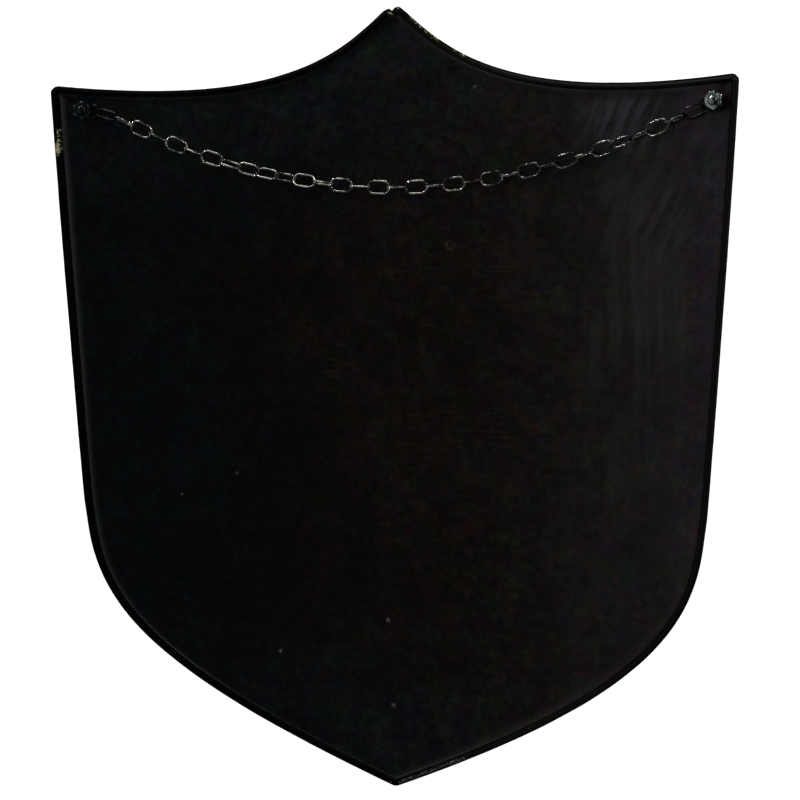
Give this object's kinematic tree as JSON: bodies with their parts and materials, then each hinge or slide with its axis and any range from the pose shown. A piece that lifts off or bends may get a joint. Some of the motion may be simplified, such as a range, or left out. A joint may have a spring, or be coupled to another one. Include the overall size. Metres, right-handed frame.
{
  "type": "heater shield",
  "caption": "Decorative sheet-metal heater shield lying face down: bowed plate with a dished border and rolled edge, and a hanging chain bolted across its back.",
  "frame": {"origin": "on the surface that the shield lies on, under the middle of its outline", "axes": "+Z out of the hollow back, +Y towards the apex of the top edge, +X to the right as the back is seen"},
  "size_m": [0.5262, 0.6022, 0.0493],
  "materials": {
    "black_paint": "satin",
    "worn_steel": "worn",
    "chain_steel": "worn"
  },
  "bodies": {
    "root": {"shield_plate": "black_paint", "hanger_bolt_left": "worn_steel", "hanger_bolt_right": "worn_steel", "hanger_nut_left": "worn_steel", "hanger_nut_right": "worn_steel", "chain_link_00": "chain_steel", "chain_link_01": "chain_steel", "chain_link_02": "chain_steel", "chain_link_03": "chain_steel", "chain_link_04": "chain_steel", "chain_link_05": "chain_steel", "chain_link_06": "chain_steel", "chain_link_07": "chain_steel", "chain_link_08": "chain_steel", "chain_link_09": "chain_steel", "chain_link_10": "chain_steel", "chain_link_11": "chain_steel", "chain_link_12": "chain_steel", "chain_link_13": "chain_steel", "chain_link_14": "chain_steel", "chain_link_15": "chain_steel", "chain_link_16": "chain_steel", "chain_link_17": "chain_steel", "chain_link_18": "chain_steel", "chain_link_19": "chain_steel", "chain_link_20": "chain_steel", "chain_link_21": "chain_steel", "chain_link_22": "chain_steel", "chain_link_23": "chain_steel", "chain_link_24": "chain_steel", "chain_link_25": "chain_steel", "chain_link_26": "chain_steel", "chain_link_27": "chain_steel", "chain_link_28": "chain_steel", "chain_link_29": "chain_steel", "chain_link_30": "chain_steel", "chain_link_31": "chain_steel", "chain_link_32": "chain_steel", "chain_link_33": "chain_steel", "chain_link_34": "chain_steel"}
  },
  "joints": []
}
